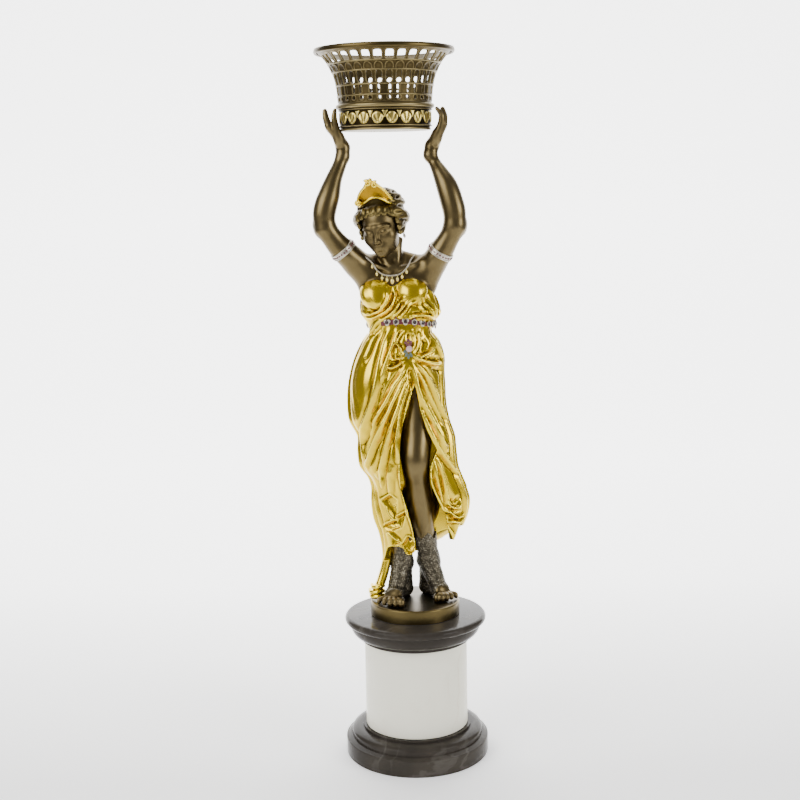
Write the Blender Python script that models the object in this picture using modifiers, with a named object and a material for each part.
"""A draped bronze maiden holding up an openwork basket, on a column of three marble pieces.

Metres, +Z up. The origin is the centre of the column's underside and the figure faces -Y.
The figure is drawn in parts of her own height, from her floor at 0 to her crown at STUDY_HEIGHT.
Front-view positions are (x, z) in those parts, with x from the column's axis.
"""

import math

import bmesh
import bpy
import numpy as np
from mathutils import Euler, Matrix, Vector

# The clearance between two pieces that touch
SEAT_GAP = 0.0003

# Marble column
BASE_RADIUS = 0.100
BASE_PLINTH_HEIGHT = 0.0225
BASE_HEIGHT = 0.041
DRUM_RADIUS = 0.0717
DRUM_HEIGHT = 0.1225
DISC_RADIUS = 0.0985
DISC_HEIGHT = 0.034
COLUMN_STEPS = 40

# Round bronze terrace under the feet
TERRACE_RADIUS = 0.062
TERRACE_HEIGHT = 0.0187

# The figure
FIGURE_HEIGHT = 0.568
STUDY_HEIGHT = 568.0
FIGURE_TRIANGLES = 4600
CLAY_VOXEL = 0.0020
# What smoothing takes off a limb, in parts
CLAY_LOSS = 1.3

# The basket, with heights above its own foot
BASKET_SHIFT = -0.0286
BASKET_FORWARD = -0.006
BASKET_FOOT_RADIUS = 0.0593
BASKET_RIM_RADIUS = 0.0923
BASKET_HEIGHT = 0.104
BASKET_BAND_TOP = 0.0245
BASKET_COLLAR_HEIGHT = 0.035
BASKET_COLLAR_SWELL = 0.0052
BASKET_WALL = 0.0022
BASKET_BARS = 32
# How far it tips towards the viewer, in degrees
BASKET_TILT = 5.0

BASE_TOP = BASE_HEIGHT
DRUM_FOOT = BASE_TOP + SEAT_GAP
DRUM_TOP = DRUM_FOOT + DRUM_HEIGHT
DISC_FOOT = DRUM_TOP + SEAT_GAP
DISC_TOP = DISC_FOOT + DISC_HEIGHT
TERRACE_FOOT = DISC_TOP + SEAT_GAP
FLOOR = TERRACE_FOOT + TERRACE_HEIGHT
PART = FIGURE_HEIGHT / STUDY_HEIGHT

# Where the basket stands on the hands, in parts of the figure
HAND_LEVEL = 641.0
BASKET_FOOT = FLOOR + HAND_LEVEL * PART
HAND_REACH = BASKET_FOOT_RADIUS / PART
HAND_CENTRE_X = BASKET_SHIFT / PART
HAND_CENTRE_Y = BASKET_FORWARD / PART

# Outline of the gown without its folds: height, left, right, front, back
GOWN_OUTLINE = (
    (48, -48, 66, -28, 36),
    (70, -46, 66, -30, 38),
    (95, -49, 68, -33, 38),
    (118, -55, 75, -37, 39),
    (141, -57, 76, -41, 40),
    (163, -57, 69, -46, 41),
    (175, -61, 64, -48, 41),
    (186, -69, 60, -50, 42),
    (208, -73, 57, -51, 43),
    (231, -73, 55, -50, 45),
    (253, -84, 48, -48, 47),
    (275, -86, 44, -46, 50),
    (297, -85, 43, -44, 51),
    (319, -81, 42, -42, 47),
    (341, -75, 42, -40, 40),
    (363, -65, 36, -36, 32),
    (374, -57, 30, -34, 28),
    (385, -61, 34, -35, 27),
    (397, -66, 42, -36, 28),
    (408, -68, 41, -34, 28),
    (420, -67, 37, -29, 29),
    (438, -66, 35, -24, 29),
)
# Lower and upper edges of the cloth: turn round the body in degrees (0 is the front), height
HEM_LINE = (
    (-180, 62), (-135, 50), (-95, 54), (-62, 70), (-45, 77), (-30, 66), (-12, 62),
    (20, 90), (35, 114), (52, 100), (75, 92), (97, 101), (120, 92), (150, 78), (180, 62),
)
BODICE_LINE = (
    (-180, 422), (-100, 427), (-60, 438), (-30, 445), (2, 435), (36, 445), (65, 434), (100, 427),
    (180, 422),
)
# The opening over the bent leg, from its point down one side and up the other
SLIT = (
    (9, 296), (-1, 262), (-12, 222), (-16, 190), (-10, 140), (-2, 100), (0, 40),
    (44, 40), (45, 100), (44, 140), (41, 172), (30, 212), (18, 252),
)
SLIT_DEPTH = 12
KNOT = (-3, 341)
WAIST = 385
# How the head is bowed, tilted and turned, in degrees
HEAD_TURN = (20, -7, -20)
# The diadem over the hair: turn round the head, height of its lower and upper edge
DIADEM = (
    (-58, 31, 33), (-40, 33.5, 44), (-22, 37, 52), (-4, 40.5, 58), (11, 42, 65), (24, 41, 62),
    (40, 36, 54), (56, 29.5, 44), (70, 27, 32),
)
# Each breast under the cloth: turn, height, rise and half widths
BUST = ((-36, 423, 14, 27, 17), (35, 423, 14, 27, 17))


def study(x, y, z):
    """A point of the figure, from parts of her height to metres."""
    return Vector((x * PART, y * PART, FLOOR + z * PART))


def flow(rows, at):
    """The columns of rows at the values at, as one smooth curve through them."""
    rows = np.array(rows, float)
    keys, values = rows[:, 0], rows[:, 1:]
    slopes = np.gradient(values, keys, axis=0)
    at = np.clip(np.asarray(at, float), keys[0], keys[-1])
    low = np.clip(np.searchsorted(keys, at, side="right") - 1, 0, len(keys) - 2)
    span = (keys[low + 1] - keys[low])[..., None]
    t = (at[..., None] - keys[low][..., None]) / span
    return (
        (1 + 2 * t) * (1 - t) ** 2 * values[low]
        + t * (1 - t) ** 2 * span * slopes[low]
        + t * t * (3 - 2 * t) * values[low + 1]
        - t * t * (1 - t) * span * slopes[low + 1]
    )


def material(name, colour, metallic, roughness):
    """A Principled material of one colour."""
    made = bpy.data.materials.new(name)
    made.use_nodes = True
    shader = made.node_tree.nodes["Principled BSDF"]
    shader.inputs["Base Color"].default_value = (*colour, 1.0)
    shader.inputs["Metallic"].default_value = metallic
    shader.inputs["Roughness"].default_value = roughness
    made.diffuse_color = (*colour, 1.0)
    return made


def link(obj, collection, finish=None):
    """Puts an object in a collection, with its material."""
    collection.objects.link(obj)
    if finish:
        obj.data.materials.append(finish)
    return obj


def smooth(mesh, sharp_degrees=40):
    """Shades a mesh smooth, with its sharp edges kept."""
    mesh.shade_smooth()
    mesh.set_sharp_from_angle(angle=math.radians(sharp_degrees))


def turned(name, profile, steps, foot, collection, finish=None, centre=(0, 0), tilt=0.0):
    """A turned piece from (radius, height) points that run from its top to its foot."""
    mesh = bpy.data.meshes.new(name)
    points = [(radius, 0, height) for radius, height in profile]
    mesh.from_pydata(points, [(i, i + 1) for i in range(len(points) - 1)], [])
    obj = link(bpy.data.objects.new(name, mesh), collection, finish)
    obj.location = (*centre, foot)
    obj.rotation_euler.x = math.radians(tilt)
    screw = obj.modifiers.new("Turn", "SCREW")
    screw.steps = screw.render_steps = steps
    screw.use_merge_vertices = True
    screw.merge_threshold = 0.00005
    screw.use_smooth_shade = False
    return obj


def evaluated_mesh(obj):
    """The mesh of an object with its modifiers applied, in world space."""
    bpy.context.view_layer.update()
    graph = bpy.context.evaluated_depsgraph_get()
    mesh = bpy.data.meshes.new_from_object(obj.evaluated_get(graph))
    mesh.transform(obj.matrix_world)
    return mesh


def base_profile():
    """The moulded base: fillet under the drum, torus, quirk and upright plinth."""
    torus_low, torus_high = BASE_PLINTH_HEIGHT + 0.003, BASE_TOP - 0.004
    fillet = DRUM_RADIUS + 0.0045
    reach = BASE_RADIUS - 0.0075 - fillet
    rise = torus_high - torus_low
    torus = [
        (fillet + reach * math.sin(a), torus_low + rise * math.cos(a))
        for a in np.radians((0, 30, 60, 90))
    ]
    return [
        (0, BASE_TOP),
        (fillet, BASE_TOP),
        *torus,
        (BASE_RADIUS - 0.0045, BASE_PLINTH_HEIGHT + 0.001),
        (BASE_RADIUS, BASE_PLINTH_HEIGHT),
        (BASE_RADIUS, 0),
        (0, 0),
    ]


def disc_profile():
    """The top slab: a bullnose edge over an ovolo and a fillet at the drum."""
    nose = 0.0055
    ovolo_top = DISC_HEIGHT - 2 * nose
    ovolo_out, ovolo_in = DISC_RADIUS - 0.0065, DRUM_RADIUS + 0.0055
    bullnose = [
        (DISC_RADIUS - nose + nose * math.sin(a), DISC_HEIGHT - nose + nose * math.cos(a))
        for a in np.radians((0, 45, 90, 135))
    ]
    return [
        (0, DISC_HEIGHT),
        *bullnose,
        (ovolo_out, ovolo_top - 0.001),
        (ovolo_out - 0.004, ovolo_top * 0.5),
        (ovolo_in, 0.004),
        (ovolo_in, 0),
        (0, 0),
    ]


def build_column(collection, dark, pale):
    """The three marble pieces that carry the bronze."""
    turned("marble_base", base_profile(), COLUMN_STEPS, 0, collection, dark)
    drum = [(0, DRUM_HEIGHT), (DRUM_RADIUS, DRUM_HEIGHT), (DRUM_RADIUS, 0), (0, 0)]
    turned("marble_drum", drum, COLUMN_STEPS, DRUM_FOOT, collection, pale)
    turned("marble_slab", disc_profile(), COLUMN_STEPS, DISC_FOOT, collection, dark)


def basket_radius(height):
    """The basket's outer radius at a height above its foot, over the openwork."""
    neck = BASKET_FOOT_RADIUS + 0.0025
    flare = BASKET_RIM_RADIUS - neck
    share = (height - BASKET_COLLAR_HEIGHT) / (BASKET_HEIGHT - BASKET_COLLAR_HEIGHT)
    share = min(max(share, 0.0), 1.0)
    return neck + flare * (0.17 * share + 0.83 * share ** 3.4)


def basket_foot_profile(grow=0.0):
    """The outside of the basket's solid lower part, top to foot, and grown by a clearance."""
    collar = BASKET_FOOT_RADIUS + BASKET_COLLAR_SWELL
    band = BASKET_FOOT_RADIUS + 0.001
    middle = (BASKET_BAND_TOP + BASKET_COLLAR_HEIGHT) / 2
    outside = [
        (basket_radius(0), BASKET_COLLAR_HEIGHT),
        (collar, middle + 0.002),
        (collar, middle - 0.002),
        (band, BASKET_BAND_TOP),
        (band, 0.0095),
        (band + 0.0022, 0.0065),
        (BASKET_FOOT_RADIUS, 0.0),
    ]
    return [(radius + grow, height - (grow if height == 0 else 0)) for radius, height in outside]


def openwork(name, collection):
    """The pierced wall: a turned grid that lacks its openings, thickened."""
    span = BASKET_HEIGHT - BASKET_COLLAR_HEIGHT
    shares = (0.0, 0.155, 0.30, 0.335, 0.55, 0.735, 0.888, 0.945, 1.0)
    rings = [BASKET_COLLAR_HEIGHT + span * share for share in shares]
    rings[0] -= 0.0015
    open_rows = (1, 3, 5)
    columns = 2 * BASKET_BARS
    built = bmesh.new()
    grid = []
    for height in rings:
        radius = basket_radius(height) - BASKET_WALL / 2
        row = []
        for column in range(columns):
            # A bar is narrower than the opening beside it
            turn = 2 * math.pi * (column + 0.10 * (column % 2)) / columns
            row.append(built.verts.new((radius * math.cos(turn), radius * math.sin(turn), height)))
        grid.append(row)
    for level in range(len(rings) - 1):
        for column in range(columns):
            if level in open_rows and column % 2 == 0:
                continue
            beside = (column + 1) % columns
            built.faces.new((grid[level][column], grid[level][beside],
                             grid[level + 1][beside], grid[level + 1][column]))
    mesh = bpy.data.meshes.new(name)
    built.to_mesh(mesh)
    built.free()
    obj = link(bpy.data.objects.new(name, mesh), collection)
    obj.location = (BASKET_SHIFT, BASKET_FORWARD, BASKET_FOOT + SEAT_GAP)
    obj.rotation_euler.x = math.radians(BASKET_TILT)
    shell = obj.modifiers.new("Wall", "SOLIDIFY")
    shell.thickness = BASKET_WALL
    shell.offset = 0
    return obj


def build_basket(collection, helpers, finish):
    """The basket: a shallow pan with a moulded band, and the pierced wall on it."""
    outside = basket_foot_profile()
    inner = BASKET_FOOT_RADIUS - BASKET_WALL
    inside = [(0, BASKET_WALL), (inner, BASKET_WALL), (inner, BASKET_COLLAR_HEIGHT)]
    profile = inside + outside + [(0, 0)]
    pan = turned("basket", profile, BASKET_BARS, BASKET_FOOT + SEAT_GAP, collection, finish,
                 (BASKET_SHIFT, BASKET_FORWARD), BASKET_TILT)
    wall = openwork("basket_wall_helper", helpers)
    join = pan.modifiers.new("Wall", "BOOLEAN")
    join.operation = "UNION"
    join.object = wall
    return pan


def add_ball(clay, centre, radii, turn=(0, 0, 0), frame=None):
    """A ball or egg of clay. Its centre and radii are in parts, its turn in degrees."""
    spin = Euler([math.radians(a) for a in turn]).to_matrix().to_4x4()
    stretch = Matrix.Diagonal((*radii, 1.0))
    place = (frame or Matrix.Identity(4)) @ Matrix.Translation(centre) @ spin @ stretch
    to_metres = Matrix.Translation((0, 0, FLOOR)) @ Matrix.Scale(PART, 4)
    bmesh.ops.create_icosphere(clay, subdivisions=3, radius=1.0, matrix=to_metres @ place)


def add_limb(clay, stations, frame=None):
    """A limb of clay through ((x, y, z), radius) stations, each pair a hull of two balls."""
    for (start, start_radius), (end, end_radius) in zip(stations, stations[1:]):
        piece = bmesh.new()
        add_ball(piece, start, (start_radius + CLAY_LOSS,) * 3, frame=frame)
        add_ball(piece, end, (end_radius + CLAY_LOSS,) * 3, frame=frame)
        hull = bmesh.ops.convex_hull(piece, input=piece.verts)
        inner = [v for v in hull["geom_interior"] if isinstance(v, bmesh.types.BMVert)]
        bmesh.ops.delete(piece, geom=inner, context="VERTS")
        mesh = bpy.data.meshes.new("limb")
        piece.to_mesh(mesh)
        piece.free()
        clay.from_mesh(mesh)
        bpy.data.meshes.remove(mesh)


def gown_section(z):
    """Centre and half widths of the gown at heights z: x, y, left, right, front, back."""
    left, right, front, back = np.moveaxis(flow(GOWN_OUTLINE, z), -1, 0)
    centre_x, centre_y = (left + right) / 2, (front + back) / 2
    return centre_x, centre_y, (right - left) / 2, (back - front) / 2


def turn_at(x, z):
    """The turn round the gown, in degrees, of the front-view point (x, z)."""
    centre_x, _, half, _ = gown_section(np.array([z]))
    return math.degrees(math.asin(max(-1, min(1, (x - centre_x[0]) / half[0]))))


def bowed(start, end, bow, steps=7):
    """Points of a fold from start to end whose middle is carried sideways by bow."""
    start, end = Vector(start), Vector(end)
    along = end - start
    side = Vector((-along.y, along.x)).normalized() * bow
    return [
        start + along * t + side * 4 * t * (1 - t)
        for t in (i / (steps - 1) for i in range(steps))
    ]


def front_fold(start, end, bow, height, width):
    """A fold between two front-view points, as (turn, z) points, a height and a half width."""
    route = [(turn_at(p.x, p.y), p.y) for p in bowed(start, end, bow)]
    return route, height, width


def fan(start_a, start_b, end_a, end_b, bows, height, width, count):
    """Folds side by side, from the first start and end to the last."""
    made = []
    for i in range(count):
        t = i / (count - 1)
        start = Vector(start_a).lerp(Vector(start_b), t)
        end = Vector(end_a).lerp(Vector(end_b), t)
        bow = bows[0] + (bows[1] - bows[0]) * t
        made.append(front_fold(start, end, bow, height, width))
    return made


def gown_folds():
    """Every fold of the gown that shows from a step away."""
    folds = []
    # From the belt over the hip, and from the knot across the standing leg
    folds += fan((-45, 374), (-27, 376), (-82, 262), (-68, 222), (-9, -12), 4.5, 8, 3)
    folds += fan((-8, 333), (-6, 330), (-64, 198), (-19, 205), (-6, -3), 5.0, 8, 4)
    # From the knot over the bent leg, the first being the rolled edge of the opening
    folds += fan((3, 334), (9, 330), (64, 146), (72, 150), (-7, 8), 5.5, 7, 3)
    folds += fan((9, 328), (12, 330), (44, 246), (47, 262), (4, 7), 4.0, 7, 2)
    folds.append(front_fold((1, 318), (-18, 190), -4, 4.5, 7))
    folds.append(front_fold((-18, 190), (-2, 78), -5, 4.5, 8))
    # The gathered loops each side of the knot
    folds.append(front_fold((4, 344), (44, 334), -6, 6.0, 8))
    folds.append(front_fold((40, 332), (28, 372), -8, 5.0, 7))
    folds.append(front_fold((-8, 344), (-34, 333), 5, 4.0, 6))
    # Short pleats between the belt and the knot
    folds += fan((-24, 376), (14, 376), (-10, 350), (4, 350), (-3, 3), 3.0, 5, 4)
    # The bodice: curved under each breast, and drawn to the belt
    folds += fan((-64, 406), (-52, 388), (-22, 436), (-6, 418), (-13, -7), 3.5, 6, 3)
    folds += fan((18, 420), (-2, 414), (38, 394), (4, 396), (3, -3), 3.5, 6, 4)
    # The underskirt below the cascades
    folds += fan((-50, 170), (-20, 180), (-44, 72), (-12, 66), (3, 2), 4.0, 7, 3)
    folds.append(front_fold((52, 150), (72, 120), 8, 5.0, 8))
    # Upright folds round the side and back
    for i in range(13):
        turn = 78 + i * 17
        top, foot = (turn * 0.9 + 18, 374), (turn, 64 + 40 * (turn < 150))
        route = [(top[0] + (foot[0] - top[0]) * t, top[1] + (foot[1] - top[1]) * t)
                 for t in np.linspace(0, 1, 8)]
        route = [((a + 180) % 360 - 180, z) for a, z in route]
        folds.append((route, 3.6, 8))
    return folds


def fold_relief(turns, heights):
    """How far the folds stand out, in parts, at each (turn, height)."""
    # One degree of turn is about one part along the cloth
    degree = 1.05
    relief = np.zeros_like(heights)
    for route, rise, width in gown_folds():
        nearest = np.full_like(heights, 1e6)
        for (turn_a, z_a), (turn_b, z_b) in zip(route, route[1:]):
            step = (turn_b - turn_a + 180) % 360 - 180
            across = ((turns - turn_a + 180) % 360 - 180) * degree
            up = heights - z_a
            along_x, along_z = step * degree, z_b - z_a
            length = along_x ** 2 + along_z ** 2
            t = np.clip((across * along_x + up * along_z) / length, 0, 1)
            nearest = np.minimum(nearest, np.hypot(across - t * along_x, up - t * along_z))
        ridge = rise * np.clip(1 - (nearest / width) ** 2, 0, 1) ** 1.5
        relief = np.maximum(relief, ridge)
    return relief


def gown_relief(turns, heights):
    """Folds, belt and overlapping layers of the gown, in parts."""
    relief = fold_relief(turns, heights)
    fade = (np.abs(heights - WAIST) - 6) / 4
    relief = relief * np.clip(fade, 0, 1)
    relief += 3.0 * (np.abs(heights - WAIST) < 6)
    for turn, height, rise, wide, tall in BUST:
        relief += rise * np.exp(-(((turns - turn) / wide) ** 2 + ((heights - height) / tall) ** 2))
    # The overskirt's lower edge lies a few parts proud of the underskirt
    edge = 158 + 16 * np.sin(np.radians(turns * 4.0)) + 0.25 * np.abs(turns)
    layer = 3.5 * np.clip((heights - edge) / 3, 0, 1) * (heights < 366)
    front = np.clip((heights - 366) / 10, 0, 1)
    return relief + layer * (1 - front) - 1.5


def gown_mesh():
    """The gown as a loft of rings from its hem to the edge of the bodice."""
    columns, rows = 96, 84
    built = bmesh.new()
    turns = np.arange(columns) * 360 / columns - 180
    hem = flow(HEM_LINE, turns)[:, 0]
    edge = flow(BODICE_LINE, turns)[:, 0]
    rings = []
    for row in range(rows):
        heights = hem + (edge - hem) * row / (rows - 1)
        x, y, half_x, half_y = gown_section(heights)
        out = gown_relief(turns, heights)
        angle = np.radians(turns)
        place_x = x + (half_x + out) * np.sin(angle)
        place_y = y - (half_y + out) * np.cos(angle)
        rings.append([built.verts.new(study(*p)) for p in zip(place_x, place_y, heights)])
    for lower, upper in zip(rings, rings[1:]):
        for i in range(columns):
            j = (i + 1) % columns
            built.faces.new((lower[i], lower[j], upper[j], upper[i]))
    for ring, up in ((rings[0], -1), (rings[-1], 1)):
        middle = sum((v.co for v in ring), Vector()) / columns
        middle.z -= up * 6 * PART
        hub = built.verts.new(middle)
        for i in range(columns):
            pair = (ring[i], ring[(i + 1) % columns])
            built.faces.new((*(pair if up > 0 else pair[::-1]), hub))
    mesh = bpy.data.meshes.new("gown")
    built.to_mesh(mesh)
    built.free()
    return mesh


def slit_cutter(helpers):
    """The space in front of the bent leg, as a front-view outline given depth."""
    built = bmesh.new()
    front, back = -90, SLIT_DEPTH
    outline = [built.verts.new(study(x, front, z)) for x, z in SLIT]
    face = built.faces.new(outline)
    pushed = bmesh.ops.extrude_face_region(built, geom=[face])["geom"]
    moved = [v for v in pushed if isinstance(v, bmesh.types.BMVert)]
    bmesh.ops.translate(built, verts=moved, vec=(0, (back - front) * PART, 0))
    bmesh.ops.recalc_face_normals(built, faces=built.faces)
    mesh = bpy.data.meshes.new("slit_helper")
    built.to_mesh(mesh)
    built.free()
    return link(bpy.data.objects.new("slit_helper", mesh), helpers)


def skirt_hollow(helpers):
    """The space inside the hem, round the ankles."""
    stations = ((30, 36, 26), (78, 38, 25), (112, 30, 18), (124, 12, 8))
    built = bmesh.new()
    steps = 24
    rings = []
    for z, wide, deep in stations:
        x, y, _, _ = gown_section(np.array([max(z, 60.0)]))
        ring = []
        for i in range(steps):
            a = 2 * math.pi * i / steps
            point = study(x[0] - 2 + wide * math.cos(a), y[0] + deep * math.sin(a), z)
            ring.append(built.verts.new(point))
        rings.append(ring)
    for lower, upper in zip(rings, rings[1:]):
        for i in range(steps):
            j = (i + 1) % steps
            built.faces.new((lower[i], lower[j], upper[j], upper[i]))
    built.faces.new(rings[0][::-1])
    built.faces.new(rings[-1])
    mesh = bpy.data.meshes.new("hollow_helper")
    built.to_mesh(mesh)
    built.free()
    return link(bpy.data.objects.new("hollow_helper", mesh), helpers)


def add_gown(clay, helpers):
    """The gown with the opening over the leg and the space under its hem."""
    obj = link(bpy.data.objects.new("gown_helper", gown_mesh()), helpers)
    for cutter in (slit_cutter(helpers), skirt_hollow(helpers)):
        cut = obj.modifiers.new("Cut", "BOOLEAN")
        cut.operation = "DIFFERENCE"
        cut.object = cutter
    mesh = evaluated_mesh(obj)
    clay.from_mesh(mesh)
    # The knot with its jewel, and the loose end that reaches the floor
    add_ball(clay, (KNOT[0], -46, KNOT[1]), (8, 6, 9))
    for shift in (0, 7):
        add_limb(clay, [((-35, 6 + shift, 68), 6), ((-42 + shift / 2, 6 + shift, 38), 5.5),
                        ((-50, 3 + shift, 14), 5.5), ((-54, -1 + shift, 3), 6)])


def hand_point(side, x, y, z):
    """A point of a hand, which follows the basket it holds.

    x counts outwards from the basket's foot edge, and side is -1 at the viewer's left.
    """
    return (HAND_CENTRE_X + side * (HAND_REACH + x), HAND_CENTRE_Y + y, z)


def add_arm(clay, side, shoulder, elbow, palm, thumb):
    """One raised arm, with the palm bent back under the basket's edge.

    palm holds how far out the wrist, heel, palm, knuckles, joints and tips stand, and thumb does so
    for its root, joints and tip.
    """
    levels = (610, 620, 634, 648, 657, 667)
    wrist, heel = (hand_point(side, out, -2, level) for out, level in zip(palm[:2], levels))
    middle = Vector(shoulder).lerp(Vector(elbow), 0.5)
    forearm = []
    for share, bulge, radius in ((0.28, 3.6, 15.0), (0.54, 4.2, 13.4), (0.78, 1.0, 10.0)):
        point = Vector(elbow).lerp(Vector(wrist), share) + Vector((side * bulge, 0, 0))
        forearm.append((tuple(point), radius))
    add_limb(clay, [(shoulder, 20), (tuple(middle), 16.5), (elbow, 14.5), *forearm, (wrist, 8.4)])
    add_limb(clay, [(wrist, 8.4), (heel, 9.4)])
    # The point of the elbow
    add_ball(clay, tuple(Vector(elbow) + Vector((side * 7, 7, -7))), (7, 7, 7))
    # Palm of four rays, with a finger on each, and the thumb
    for spread in (-12, -4, 4, 12):
        ray = [(heel, 8.0)]
        for out, level, fan_out, radius in zip(
            palm[2:], levels[2:], (0.75, 1.0, 1.12, 1.18), (6.6, 4.6, 3.2, 2.2)
        ):
            ray.append((hand_point(side, out, fan_out * spread - 1, level), radius))
        add_limb(clay, ray)
    route = zip(thumb, (-12, -17, -19, -19), (634, 649, 658, 667), (6.0, 4.2, 3.4, 2.2))
    add_limb(clay, [(heel, 8), *((hand_point(side, out, y, z), r) for out, y, z, r in route)])


def add_trunk(clay):
    """Shoulders, chest, the bare upper breasts and neck above the bodice."""
    add_ball(clay, (-17, 3, 428), (50, 27, 38))
    for x in (-46, 6):
        add_ball(clay, (x, -13, 432), (21, 19, 19))
    add_limb(clay, [((-58, 6, 452), 19), ((-18, 6, 455), 19), ((22, 6, 451), 19)])
    add_limb(clay, [((-19, 6, 450), 23), ((-23, 3, 466), 17), ((-29, -3, 494), 14.5)])


def head_frame():
    """The head's own axes, with the face towards -Y: bowed, tilted and turned to the left."""
    turn = Euler([math.radians(a) for a in HEAD_TURN]).to_matrix().to_4x4()
    return Matrix.Translation((-36, -9, 519)) @ turn


def add_head(clay):
    """Head, hair and diadem, in the head's own axes with the face towards -Y."""
    frame = head_frame()
    add_ball(clay, (0, 6, 8), (29, 33, 31), frame=frame)
    add_ball(clay, (-1, -8, -13), (23.5, 24, 28), frame=frame)
    add_ball(clay, (-1, -24, -33), (9, 8, 8), frame=frame)
    # Nose and the ridge of the brows
    add_limb(clay, [((-1, -31, 2), 1.5), ((-1, -35, -12), 2.8)], frame=frame)
    for side in (-1, 1):
        add_limb(clay, [((-1, -31, 4), 2), ((side * 15 - 1, -26, 4), 2)], frame=frame)
    add_ball(clay, (-1, -30, -22), (7, 4, 3), frame=frame)
    # Hair: a roll from ear to ear over the brow, a crown and a coil behind
    for i in range(15):
        a = math.radians(-120 + i * 240 / 14)
        lift = math.cos(a)
        roll = (30 * math.sin(a), 4 - 21 * lift, 6 + 16 * lift)
        add_ball(clay, roll, (8, 9, 9), frame=frame)
    add_ball(clay, (1, 10, 15), (31, 31, 29), frame=frame)
    add_ball(clay, (2, 34, 10), (17, 13, 17), frame=frame)
    # Diadem: a crescent over the brow that rises to a scrolled peak
    for turn in range(DIADEM[0][0], DIADEM[-1][0] + 1, 8):
        a = math.radians(turn)
        low, high = flow(DIADEM, [turn])[0]
        foot = (24 * math.sin(a), 3 - 22 * math.cos(a), low)
        peak = (25 * math.sin(a), 2 - 24 * math.cos(a), high)
        add_limb(clay, [(foot, 1.5), (peak, 1.2)], frame=frame)


def add_leg(clay, hip, knee, calf, ankle, heel, ball, toes):
    """A leg and its booted foot; toes is the (first, last) toe tip."""
    thigh = Vector(hip).lerp(Vector(knee), 0.55)
    add_limb(clay, [(hip, 31), (tuple(thigh), 25), (knee, 19)])
    add_limb(clay, [(knee, 18.5), (calf, 19), (ankle, 13)])
    add_limb(clay, [(ankle, 13), (heel, 10), (ball, 8)])
    instep = tuple(Vector(ankle).lerp(Vector(ball), 0.5) + Vector((0, 0, -3)))
    add_limb(clay, [(ankle, 13), (instep, 12), (ball, 9)])
    for i in range(5):
        t = i / 4
        tip = Vector(toes[0]).lerp(Vector(toes[1]), t)
        root = Vector(ball).lerp(tip, 0.45) + Vector((0, 0, 2))
        add_limb(clay, [(instep, 9), (tuple(root), 6.5), (tuple(tip), 4.6 - 1.4 * t)])


def add_legs(clay):
    """The standing leg at the viewer's left, and the bent one that shows in the opening."""
    add_leg(clay, (-45, 2, 285), (-36, -6, 170), (-30, 6, 115), (-17, 8, 52),
            (-13, 17, 10), (-31, -20, 9), ((-21, -43, 5), (-49, -26, 4)))
    add_leg(clay, (6, -4, 285), (5, -33, 184), (16, -8, 118), (25, 14, 54),
            (18, 28, 11), (38, -3, 9), ((33, -22, 5), (57, -6, 4)))


def clay_figure(helpers):
    """The whole figure modelled in clay, fused and made coarse."""
    clay = bmesh.new()
    add_gown(clay, helpers)
    add_trunk(clay)
    add_head(clay)
    add_legs(clay)
    add_arm(clay, -1, (-56, 6, 453), (-113, -22, 521),
            (-1.8, -2.3, 4, 15, 18.5, 20), (3, 6.5, 7.6, 6.2))
    add_arm(clay, 1, (20, 6, 451), (65, -22, 520),
            (-0.7, 1.9, 9.5, 17, 18.5, 16.5), (8, 14, 14.5, 8.3))
    mesh = bpy.data.meshes.new("clay_helper")
    clay.to_mesh(mesh)
    clay.free()
    obj = link(bpy.data.objects.new("clay_helper", mesh), helpers)
    fuse = obj.modifiers.new("Fuse", "REMESH")
    fuse.mode = "VOXEL"
    fuse.voxel_size = CLAY_VOXEL
    soften = obj.modifiers.new("Soften", "SMOOTH")
    soften.factor = 0.5
    soften.iterations = 3
    fused = evaluated_mesh(obj)
    triangles = sum(len(p.vertices) - 2 for p in fused.polygons)
    coarse = link(bpy.data.objects.new("coarse_helper", fused), helpers)
    thin = coarse.modifiers.new("Thin", "DECIMATE")
    thin.ratio = FIGURE_TRIANGLES / triangles
    thin.use_collapse_triangulate = True
    return coarse


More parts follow.
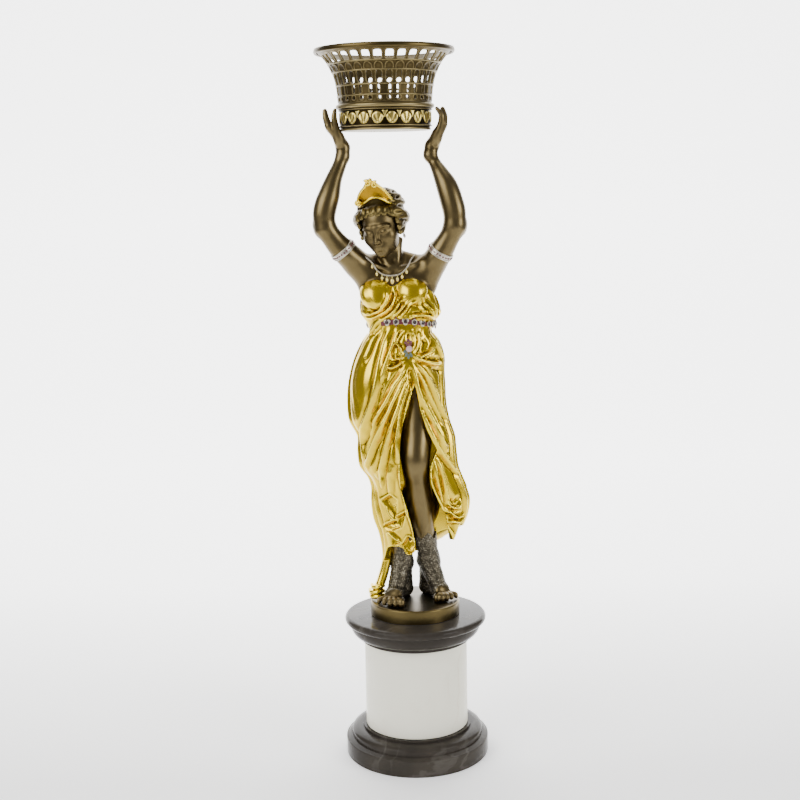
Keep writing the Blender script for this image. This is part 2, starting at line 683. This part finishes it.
def build_figure(collection, helpers, finish):
    """The figure cast with her terrace, and with the basket's seat cut in her palms."""
    edge = 0.0025
    profile = [
        (0, TERRACE_HEIGHT),
        (TERRACE_RADIUS - edge, TERRACE_HEIGHT),
        (TERRACE_RADIUS, TERRACE_HEIGHT - edge),
        (TERRACE_RADIUS, 0),
        (0, 0),
    ]
    terrace = turned("figure_on_terrace", profile, COLUMN_STEPS, TERRACE_FOOT, collection, finish)
    above = link(bpy.data.objects.new("above_helper", bpy.data.meshes.new("above")), helpers)
    coarse = clay_figure(helpers)
    # What the soft clay leaves below the middle of the terrace is trimmed away
    block = bmesh.new()
    size = 0.4
    low = TERRACE_FOOT + TERRACE_HEIGHT / 2
    bmesh.ops.create_cube(block, size=size, matrix=Matrix.Translation((0, 0, low - size / 2)))
    block.to_mesh(above.data)
    block.free()
    trim = coarse.modifiers.new("Trim", "BOOLEAN")
    trim.operation = "DIFFERENCE"
    trim.object = above
    seat_profile = basket_foot_profile(SEAT_GAP)
    rim = seat_profile[0][0]
    seat_profile = [(0, BASKET_COLLAR_HEIGHT + 0.02), (rim, BASKET_COLLAR_HEIGHT + 0.02),
                    *seat_profile, (0, -SEAT_GAP)]
    seat = turned("seat_helper", seat_profile, BASKET_BARS, BASKET_FOOT + SEAT_GAP, helpers,
                  centre=(BASKET_SHIFT, BASKET_FORWARD), tilt=BASKET_TILT)
    for name, operation, other in (("Figure", "UNION", coarse), ("Seat", "DIFFERENCE", seat)):
        step = terrace.modifiers.new(name, "BOOLEAN")
        step.operation = operation
        step.object = other
    return terrace


def main():
    """Clears the scene and builds every piece."""
    for obj in list(bpy.data.objects):
        bpy.data.objects.remove(obj)
    scene = bpy.context.scene.collection
    pieces = bpy.data.collections.new("maiden_with_basket")
    helpers = bpy.data.collections.new("helpers")
    scene.children.link(pieces)
    scene.children.link(helpers)
    dark = material("black_marble", (0.035, 0.033, 0.035), 0.0, 0.18)
    pale = material("white_marble", (0.80, 0.79, 0.72), 0.0, 0.35)
    bronze = material("patinated_bronze", (0.16, 0.12, 0.05), 1.0, 0.35)
    build_column(pieces, dark, pale)
    build_figure(pieces, helpers, bronze)
    build_basket(pieces, helpers, bronze)
    for helper in helpers.objects:
        helper.hide_render = True
        helper.display_type = "WIRE"
    for piece in pieces.objects:
        piece.data.name = piece.name


main()
